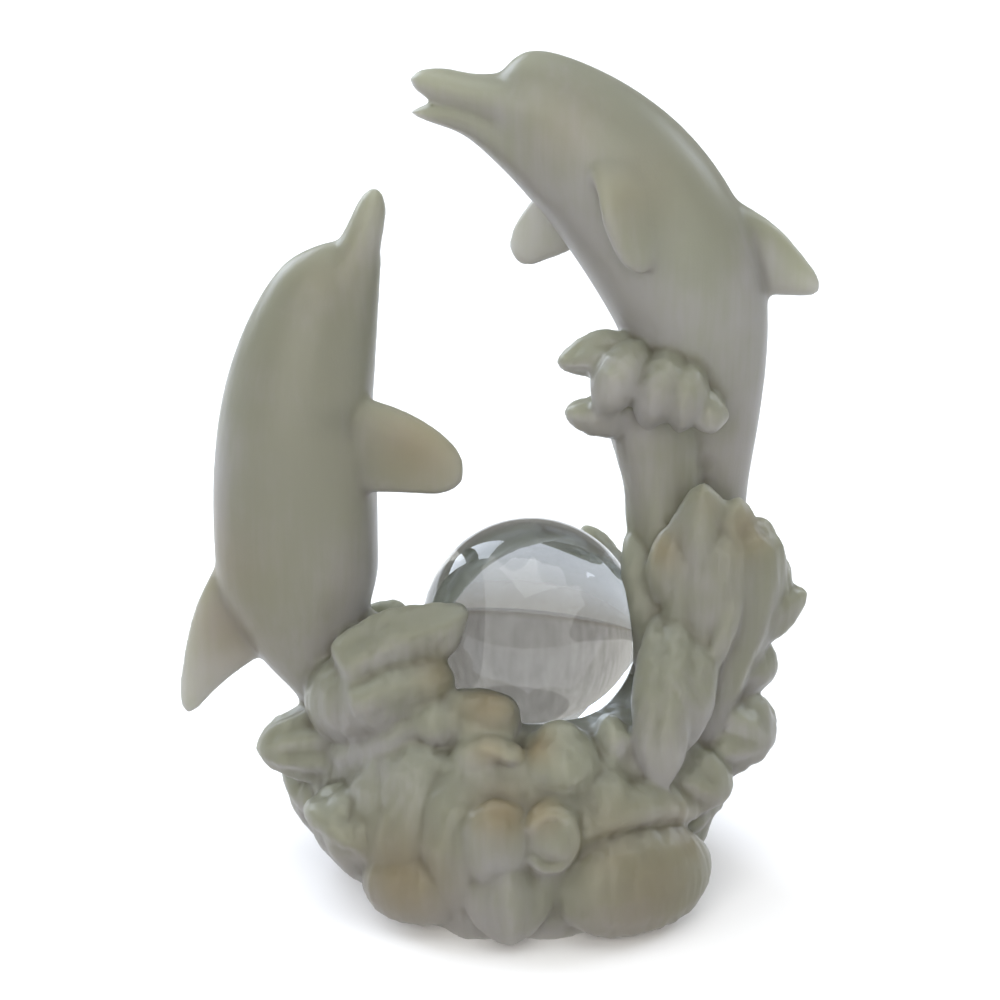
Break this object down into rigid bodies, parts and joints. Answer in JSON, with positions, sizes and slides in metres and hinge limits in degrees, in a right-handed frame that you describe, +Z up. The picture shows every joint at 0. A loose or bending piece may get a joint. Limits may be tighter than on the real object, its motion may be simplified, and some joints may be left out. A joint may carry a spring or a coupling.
{
  "type": "dolphin sculpture",
  "caption": "Ornament of two dolphins leaping round a clear glass ball that rests among breaking waves, cast in frosted acrylic and standing on a flat foot.",
  "frame": {"origin": "middle of the flat underside of the base", "axes": "+Z up, -Y towards the front, +X towards the arching dolphin's dorsal fin"},
  "size_m": [0.1463, 0.0922, 0.1916],
  "materials": {
    "frosted_acrylic": "frosted, see-through in thin edges, sand-blasted satin surface",
    "clear_glass": "polished clear glass"
  },
  "bodies": {
    "root": {"dolphins_and_waves": "frosted_acrylic", "glass_ball": "clear_glass"}
  },
  "joints": []
}
